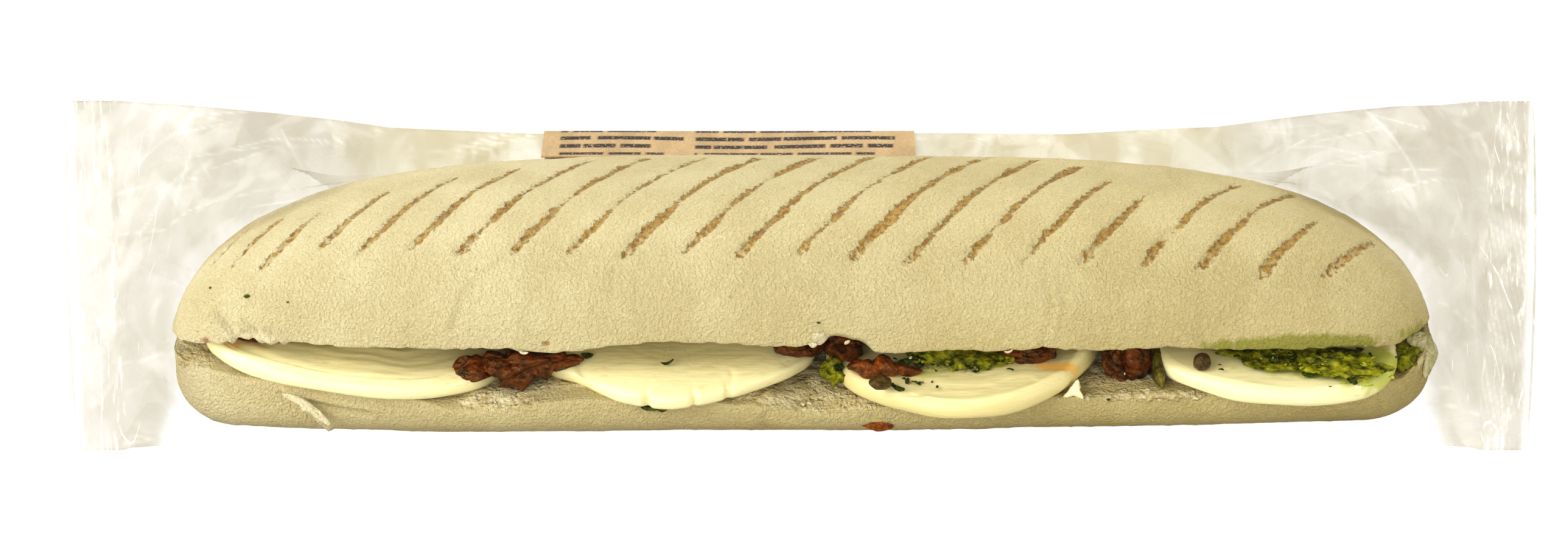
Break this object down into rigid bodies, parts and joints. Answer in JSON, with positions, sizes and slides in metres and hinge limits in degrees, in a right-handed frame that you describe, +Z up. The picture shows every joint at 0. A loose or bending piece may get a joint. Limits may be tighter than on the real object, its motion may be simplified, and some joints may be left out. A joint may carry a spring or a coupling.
{
  "type": "panini in a film bag",
  "caption": "Long grilled panini cut along its front and filled with mozzarella slices, dried tomato and green pesto, in a clear film bag with sealed ends.",
  "frame": {"origin": "centre of the bounding box in plan, on the table under the loaf", "axes": "+X along the loaf, +Y from its open side towards the fold behind it, +Z up"},
  "size_m": [0.3286, 0.1046, 0.0497],
  "materials": {
    "crust": "pale baked crust with brown grill marks",
    "mozzarella": "moist, softly glossy cheese",
    "tomato": "oily, wrinkled dried tomato",
    "red_tomato": "oily, lighter dried tomato",
    "caper": "smooth dark skin",
    "leaf": "wet olive-green skin",
    "pesto": "oily green paste with dark leaf flakes",
    "film": "clear thin film, creased at the ends",
    "paper": "uncoated brown paper"
  },
  "bodies": {
    "root": {"bread_bottom": "crust", "bread_top": "crust", "mozzarella_1": "mozzarella", "mozzarella_2": "mozzarella", "mozzarella_3": "mozzarella", "mozzarella_4": "mozzarella", "mozzarella_scrap": "mozzarella", "tomato_1": "tomato", "tomato_2": "tomato", "tomato_3": "tomato", "tomato_4": "red_tomato", "tomato_5": "tomato", "tomato_6": "tomato", "tomato_7": "red_tomato", "tomato_8": "tomato", "caper_1": "caper", "caper_2": "caper", "leaf_1": "leaf", "pesto_1": "pesto", "pesto_2": "pesto", "pesto_3": "pesto", "pesto_4": "pesto", "bag": "film", "label": "paper"}
  },
  "joints": []
}
